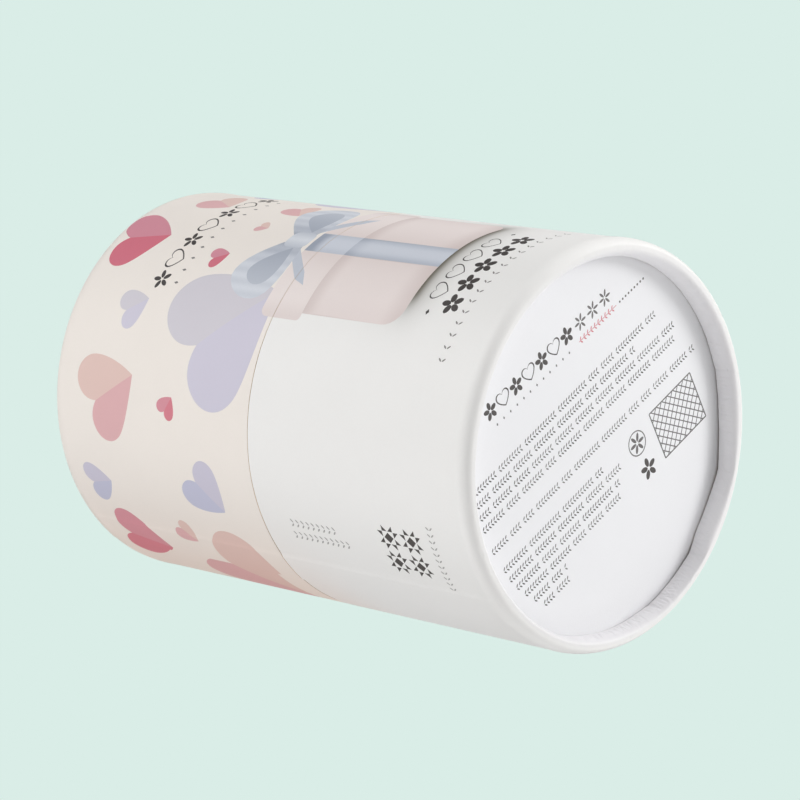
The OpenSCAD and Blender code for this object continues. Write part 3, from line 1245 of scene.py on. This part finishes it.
def liner_disc(name, radius, low, high, up, material, node, body):
    """A paper circle on the floor or under the ceiling, faintly uneven."""
    columns, rows = 180, 16
    points, faces = [], []
    for r in range(1, rows + 1):
        for c in range(columns):
            a = 2 * math.pi * c / columns
            d = radius * r / rows
            x, y = d * math.cos(a), d * math.sin(a)
            sag = 0.04 * (1 + math.sin(x / 9 + 1) * math.cos(y / 11)) * (1 - (r / rows) ** 4)
            points.append((x, y, high - sag if up else low + sag))
    faces += grid_faces(rows, columns, closed=True)
    top_middle = len(points)
    points.append((0, 0, high - 0.05 if up else low + 0.05))
    for c in range(columns):
        faces.append((top_middle, c, (c + 1) % columns))
    first = len(points)
    flat_z = low if up else high
    outer = (rows - 1) * columns
    for c in range(columns):
        a = 2 * math.pi * c / columns
        points.append((radius * math.cos(a), radius * math.sin(a), flat_z))
    bottom_middle = len(points)
    points.append((0, 0, flat_z))
    for c in range(columns):
        d = (c + 1) % columns
        faces.append((outer + c, first + c, first + d, outer + d))
        faces.append((first + c, bottom_middle, first + d))
    if not up:
        faces = [f[::-1] for f in faces]
    return make_piece(name, points, faces, material, node, body)


# Materials


def new_material(name, roughness, specular=0.5):
    material = bpy.data.materials.new(name)
    material.use_nodes = True
    nodes, links = material.node_tree.nodes, material.node_tree.links
    shader = nodes["Principled BSDF"]
    shader.inputs["Roughness"].default_value = roughness
    shader.inputs["Specular IOR Level"].default_value = specular
    return material, nodes, links, shader


def noise_node(nodes, links, scale, detail, roughness=0.5, stretch=None):
    place = nodes.new("ShaderNodeTexCoord")
    noise = nodes.new("ShaderNodeTexNoise")
    noise.inputs["Scale"].default_value = scale
    noise.inputs["Detail"].default_value = detail
    noise.inputs["Roughness"].default_value = roughness
    source = place.outputs["Object"]
    if stretch:
        mapping = nodes.new("ShaderNodeMapping")
        mapping.inputs["Scale"].default_value = stretch
        links.new(source, mapping.inputs["Vector"])
        source = mapping.outputs["Vector"]
    links.new(source, noise.inputs["Vector"])
    return noise


def spread(nodes, links, source, low, high):
    """A factor from 0 to 1 moved into the range from low to high."""
    place = nodes.new("ShaderNodeMapRange")
    place.inputs["To Min"].default_value = low
    place.inputs["To Max"].default_value = high
    links.new(source, place.inputs["Value"])
    return place.outputs["Result"]


def tinted(nodes, links, colour, factor):
    """A colour scaled by a factor socket."""
    scale = nodes.new("ShaderNodeVectorMath")
    scale.operation = "SCALE"
    links.new(colour, scale.inputs[0])
    links.new(factor, scale.inputs["Scale"])
    return scale.outputs["Vector"]


def bumped(nodes, links, shader, height, distance, strength=1.0):
    bump = nodes.new("ShaderNodeBump")
    bump.inputs["Distance"].default_value = distance
    bump.inputs["Strength"].default_value = strength
    links.new(height, bump.inputs["Height"])
    links.new(bump.outputs["Normal"], shader.inputs["Normal"])


def specks(nodes, links, scale, keep):
    """Sparse small dots, 1 in the paper and less in a speck."""
    place = nodes.new("ShaderNodeTexCoord")
    cells = nodes.new("ShaderNodeTexVoronoi")
    cells.inputs["Scale"].default_value = scale
    links.new(place.outputs["Object"], cells.inputs["Vector"])
    near = nodes.new("ShaderNodeMapRange")
    near.inputs["From Min"].default_value = 0.03
    near.inputs["From Max"].default_value = 0.07
    links.new(cells.outputs["Distance"], near.inputs["Value"])
    pick = nodes.new("ShaderNodeSeparateColor")
    links.new(cells.outputs["Color"], pick.inputs["Color"])
    rare = nodes.new("ShaderNodeMath")
    rare.operation = "LESS_THAN"
    rare.inputs[1].default_value = 1 - keep
    links.new(pick.outputs["Red"], rare.inputs[0])
    top = nodes.new("ShaderNodeMath")
    top.operation = "MAXIMUM"
    links.new(near.outputs["Result"], top.inputs[0])
    links.new(rare.outputs["Value"], top.inputs[1])
    return top.outputs["Value"]


def printed_paper(name, roughness):
    """Smooth coated paper that shows the ink laid on its mesh."""
    material, nodes, links, shader = new_material(name, roughness, 0.4)
    ink = nodes.new("ShaderNodeVertexColor")
    ink.layer_name = "ink"
    cloud = noise_node(nodes, links, 60, 3)
    fine = noise_node(nodes, links, 2600, 4, 0.6)
    shade = spread(nodes, links, cloud.outputs["Fac"], 0.985, 1.012)
    grain = spread(nodes, links, fine.outputs["Fac"], 0.975, 1.022)
    colour = tinted(nodes, links, ink.outputs["Color"], shade)
    colour = tinted(nodes, links, colour, grain)
    speck = spread(nodes, links, specks(nodes, links, 330, 0.012), 0.72, 1.0)
    colour = tinted(nodes, links, colour, speck)
    links.new(colour, shader.inputs["Base Color"])
    painted_shade = spread(nodes, links, cloud.outputs["Fac"], roughness - 0.05, roughness + 0.05)
    links.new(painted_shade, shader.inputs["Roughness"])
    bumped(nodes, links, shader, fine.outputs["Fac"], 0.00003)
    return material


def lining_paper(name, colour, ply_pitch):
    """Uncoated paper wound on in a slant, with a fine line where the strips meet."""
    material, nodes, links, shader = new_material(name, 0.8, 0.3)
    fibres = noise_node(nodes, links, 1300, 6, 0.65)
    cloud = noise_node(nodes, links, 45, 2)
    place = nodes.new("ShaderNodeTexCoord")
    split = nodes.new("ShaderNodeSeparateXYZ")
    links.new(place.outputs["Object"], split.inputs["Vector"])
    angle = nodes.new("ShaderNodeMath")
    angle.operation = "ARCTAN2"
    links.new(split.outputs["Y"], angle.inputs[0])
    links.new(split.outputs["X"], angle.inputs[1])
    turns = nodes.new("ShaderNodeMath")
    turns.operation = "DIVIDE"
    turns.inputs[1].default_value = 2 * math.pi
    links.new(angle.outputs["Value"], turns.inputs[0])
    rise = nodes.new("ShaderNodeMath")
    rise.operation = "DIVIDE"
    rise.inputs[1].default_value = ply_pitch * MM
    links.new(split.outputs["Z"], rise.inputs[0])
    lead = nodes.new("ShaderNodeMath")
    lead.operation = "ADD"
    links.new(turns.outputs["Value"], lead.inputs[0])
    links.new(rise.outputs["Value"], lead.inputs[1])
    saw = nodes.new("ShaderNodeMath")
    saw.operation = "PINGPONG"
    saw.inputs[1].default_value = 0.5
    links.new(lead.outputs["Value"], saw.inputs[0])
    line = nodes.new("ShaderNodeMapRange")
    line.inputs["From Min"].default_value = 0.001
    line.inputs["From Max"].default_value = 0.006
    line.inputs["To Min"].default_value = 0.0
    line.inputs["To Max"].default_value = 1.0
    links.new(saw.outputs["Value"], line.inputs["Value"])
    base = nodes.new("ShaderNodeRGB")
    base.outputs["Color"].default_value = (*linear(colour), 1)
    tone = tinted(nodes, links, base.outputs["Color"], spread(nodes, links, fibres.outputs["Fac"], 0.93, 1.05))
    tone = tinted(nodes, links, tone, spread(nodes, links, cloud.outputs["Fac"], 0.97, 1.02))
    tone = tinted(nodes, links, tone, spread(nodes, links, line.outputs["Result"], 0.8, 1.0))
    links.new(tone, shader.inputs["Base Color"])
    height = nodes.new("ShaderNodeMath")
    height.operation = "MULTIPLY_ADD"
    height.inputs[1].default_value = 1.5
    links.new(line.outputs["Result"], height.inputs[0])
    links.new(fibres.outputs["Fac"], height.inputs[2])
    bumped(nodes, links, shader, height.outputs["Value"], 0.00005)
    return material


def raw_board(name, colour):
    """Grey-brown board with fibres and fine plies."""
    material, nodes, links, shader = new_material(name, 0.9, 0.2)
    fibres = noise_node(nodes, links, 900, 8, 0.7, (1, 1, 3))
    cloud = noise_node(nodes, links, 120, 3)
    base = nodes.new("ShaderNodeRGB")
    base.outputs["Color"].default_value = (*linear(colour), 1)
    tone = tinted(nodes, links, base.outputs["Color"], spread(nodes, links, fibres.outputs["Fac"], 0.75, 1.2))
    tone = tinted(nodes, links, tone, spread(nodes, links, cloud.outputs["Fac"], 0.92, 1.06))
    links.new(tone, shader.inputs["Base Color"])
    bumped(nodes, links, shader, fibres.outputs["Fac"], 0.00012)
    return material


# The object


def build_box():
    base, lid = Half("base", 11), Half("lid", 23)
    base_print = printed_paper("white_printed_paper", 0.46)
    lid_print = printed_paper("cream_printed_paper", 0.46)
    facing = printed_paper("end_paper", 0.5)
    board = raw_board("raw_board", (190, 168, 143))
    plain = lining_paper("lining_paper", (226, 223, 217), 74)

    motif = present()
    printed_wrap(
        lid, repeated(scattered_hearts() + garland(lid_ground) + motif), lid_ground,
        lid_print, "lid_wrap",
    )
    printed_wrap(
        base, repeated(motif + base_borders(base_ground) + side_ornament()), base_ground,
        base_print, "base_wrap",
    )
    curled_board(base, board, "base_tube")
    curled_board(lid, board, "lid_tube")
    end_paper(base, FACING_R, disc_print(facing_ground), facing_ground, facing, "base_disc_facing")
    end_paper(lid, LID_FACING_R, [], lid_ground, facing, "lid_disc_facing")
    neck_paper(plain)
    lining("neck_inner_paper", NECK_LINING_R, FLOOR_R + 0.1, INSIDE_Z, TURN_IN_Z, plain, "neck_lining", "base")
    lining("lid_inner_paper", LID_LINING_R, RING_R, LID_LINING_LOW, LID_LINING_HIGH, plain, "lid_lining", "lid")
    retaining_ring(board)
    liner_disc("floor_paper", FLOOR_R, INSIDE_Z, FLOOR_TOP, True, plain, "floor_liner", "base")
    liner_disc("ceiling_paper", CEILING_R, CEILING_LOW, CEILING_HIGH, False, plain, "ceiling_liner", "lid")
    for node in ("base_disc", "lid_disc", "neck_tube"):
        dress(node, board)
    dress("base_lining", plain)


def dress(node, material):
    """Gives a CAD node that stays in view its finished material."""
    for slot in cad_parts[node].material_slots:
        slot.material = material


# Camera, light and floor

CAMERA_AT = (-0.432145, -0.369087, -0.475066)
CAMERA_TURN = (170.3306665, 45.4985808, 26.7788109)
CAMERA_LENS = 147.795
BACKDROP = (218, 237, 231)

# Lamps: tilt away from the camera's axis and turn about it from its right, in degrees, power
# in watts and width in metres. The even light from all round is FILL.
SOFT_BOXES = [
    (35, 240, 0.75, 0.7), (35, 300, 0.85, 0.7), (70, 45, 2.1, 0.7), (70, 135, 5.1, 0.7),
    (70, 225, 3.75, 0.7), (70, 315, 0.8, 0.7), (105, 45, 2.05, 0.7), (105, 315, 2.55, 0.7),
    (90, 0, 0.65, 0.3), (90, 20, 3.55, 0.3), (78, 30, 0.25, 0.3),
]
BOX_AWAY = 1.0
TOP_POWER = 1.9
TOP_TILT = math.radians(76)
TOP_SIZE = 0.3
FILL = 0.3


def set_camera():
    camera = bpy.data.cameras.new("camera")
    camera.lens = CAMERA_LENS
    camera.sensor_width = 36
    camera.clip_start = 0.01
    camera.clip_end = 20
    holder = bpy.data.objects.new("camera", camera)
    holder.location = CAMERA_AT
    holder.rotation_euler = [math.radians(a) for a in CAMERA_TURN]
    bpy.context.scene.collection.objects.link(holder)
    bpy.context.scene.camera = holder


def set_world():
    """A plain pale backdrop, and an even white light from all round."""
    world = bpy.data.worlds.new("studio")
    world.use_nodes = True
    bpy.context.scene.world = world
    nodes, links = world.node_tree.nodes, world.node_tree.links
    nodes.clear()
    seen = nodes.new("ShaderNodeBackground")
    seen.inputs["Color"].default_value = (*linear(BACKDROP), 1)
    around = nodes.new("ShaderNodeBackground")
    around.inputs["Color"].default_value = (1, 1, 1, 1)
    around.inputs["Strength"].default_value = FILL
    path = nodes.new("ShaderNodeLightPath")
    mix = nodes.new("ShaderNodeMixShader")
    out = nodes.new("ShaderNodeOutputWorld")
    links.new(path.outputs["Is Camera Ray"], mix.inputs["Fac"])
    links.new(around.outputs["Background"], mix.inputs[1])
    links.new(seen.outputs["Background"], mix.inputs[2])
    links.new(mix.outputs["Shader"], out.inputs["Surface"])


def soft_box(name, direction, power, size, gloss=1.0):
    """A square lamp that looks at the middle of the object from a direction."""
    lamp = bpy.data.lights.new(name, "AREA")
    lamp.shape = "SQUARE"
    lamp.size = size
    lamp.energy = power
    lamp.specular_factor = gloss
    holder = bpy.data.objects.new(name, lamp)
    middle = Vector((0, 0, TOP_Z / 2 * MM))
    holder.location = middle + direction * BOX_AWAY
    holder.rotation_euler = direction.to_track_quat("Z", "Y").to_euler()
    holder.visible_camera = False
    bpy.context.scene.collection.objects.link(holder)


def set_lights():
    """A ring of soft boxes round the photograph's direction."""
    turned = Euler([math.radians(a) for a in CAMERA_TURN]).to_matrix()
    right, up, near = turned.col
    for tilt, turn, power, size in SOFT_BOXES:
        tilt, turn = math.radians(tilt), math.radians(turn)
        sideways = right * math.cos(turn) + up * math.sin(turn)
        direction = sideways * math.sin(tilt) + near * math.cos(tilt)
        soft_box("soft_box", direction, power, size)
    above = Vector((0, 0, math.cos(TOP_TILT))) - near * math.sin(TOP_TILT)
    soft_box("top_box", above.normalized(), TOP_POWER, TOP_SIZE, gloss=0.0)


def set_floor():
    """A pale floor with a painted contact shadow, darker where the object is close by an ambient occlusion
    factor, that goes over into the backdrop. It can't be seen from below, where the photograph's camera is."""
    mesh = bpy.data.meshes.new("floor")
    half, low = 3.0, -0.0003
    mesh.from_pydata([(-half, -half, low), (half, -half, low), (half, half, low), (-half, half, low)],
                     [], [(0, 1, 2, 3)])
    material = bpy.data.materials.new("floor")
    material.use_nodes = True
    nodes, links = material.node_tree.nodes, material.node_tree.links
    nodes.clear()
    # Painted contact shadow: ambient occlusion darkens the floor's colour near the object
    dark = nodes.new("ShaderNodeAmbientOcclusion")
    dark.inputs["Color"].default_value = (*linear((238, 247, 244)), 1)
    dark.inputs["Distance"].default_value = 0.05
    dark.samples = 8
    close = spread(nodes, links, dark.outputs["AO"], 0.2, 1.0)
    pale = nodes.new("ShaderNodeBsdfDiffuse")
    links.new(tinted(nodes, links, dark.outputs["Color"], close), pale.inputs["Color"])
    place = nodes.new("ShaderNodeTexCoord")
    away = nodes.new("ShaderNodeVectorMath")
    away.operation = "LENGTH"
    links.new(place.outputs["Object"], away.inputs[0])
    blend_out = nodes.new("ShaderNodeMapRange")
    blend_out.interpolation_type = "SMOOTHSTEP"
    blend_out.inputs["From Min"].default_value = 0.15
    blend_out.inputs["From Max"].default_value = 0.7
    links.new(away.outputs["Value"], blend_out.inputs["Value"])
    backdrop = nodes.new("ShaderNodeEmission")
    backdrop.inputs["Color"].default_value = (*linear(BACKDROP), 1)
    swept = nodes.new("ShaderNodeMixShader")
    blend_out.inputs["To Min"].default_value = 0.3
    links.new(blend_out.outputs["Result"], swept.inputs["Fac"])
    links.new(pale.outputs["BSDF"], swept.inputs[1])
    links.new(backdrop.outputs["Emission"], swept.inputs[2])
    clear = nodes.new("ShaderNodeBsdfTransparent")
    side = nodes.new("ShaderNodeNewGeometry")
    mix = nodes.new("ShaderNodeMixShader")
    out = nodes.new("ShaderNodeOutputMaterial")
    links.new(side.outputs["Backfacing"], mix.inputs["Fac"])
    links.new(swept.outputs["Shader"], mix.inputs[1])
    links.new(clear.outputs["BSDF"], mix.inputs[2])
    links.new(mix.outputs["Shader"], out.inputs["Surface"])
    mesh.materials.append(material)
    floor = bpy.data.objects.new("floor", mesh)
    floor.visible_shadow = False
    floor.visible_diffuse = False
    floor.visible_glossy = False
    bpy.context.scene.collection.objects.link(floor)


def set_view():
    view = bpy.context.scene.view_settings
    view.view_transform = "Standard"
    view.look = "None"
    view.exposure = 0
    view.gamma = 1


set_camera()
set_world()
set_lights()
set_floor()
set_view()
build_box()
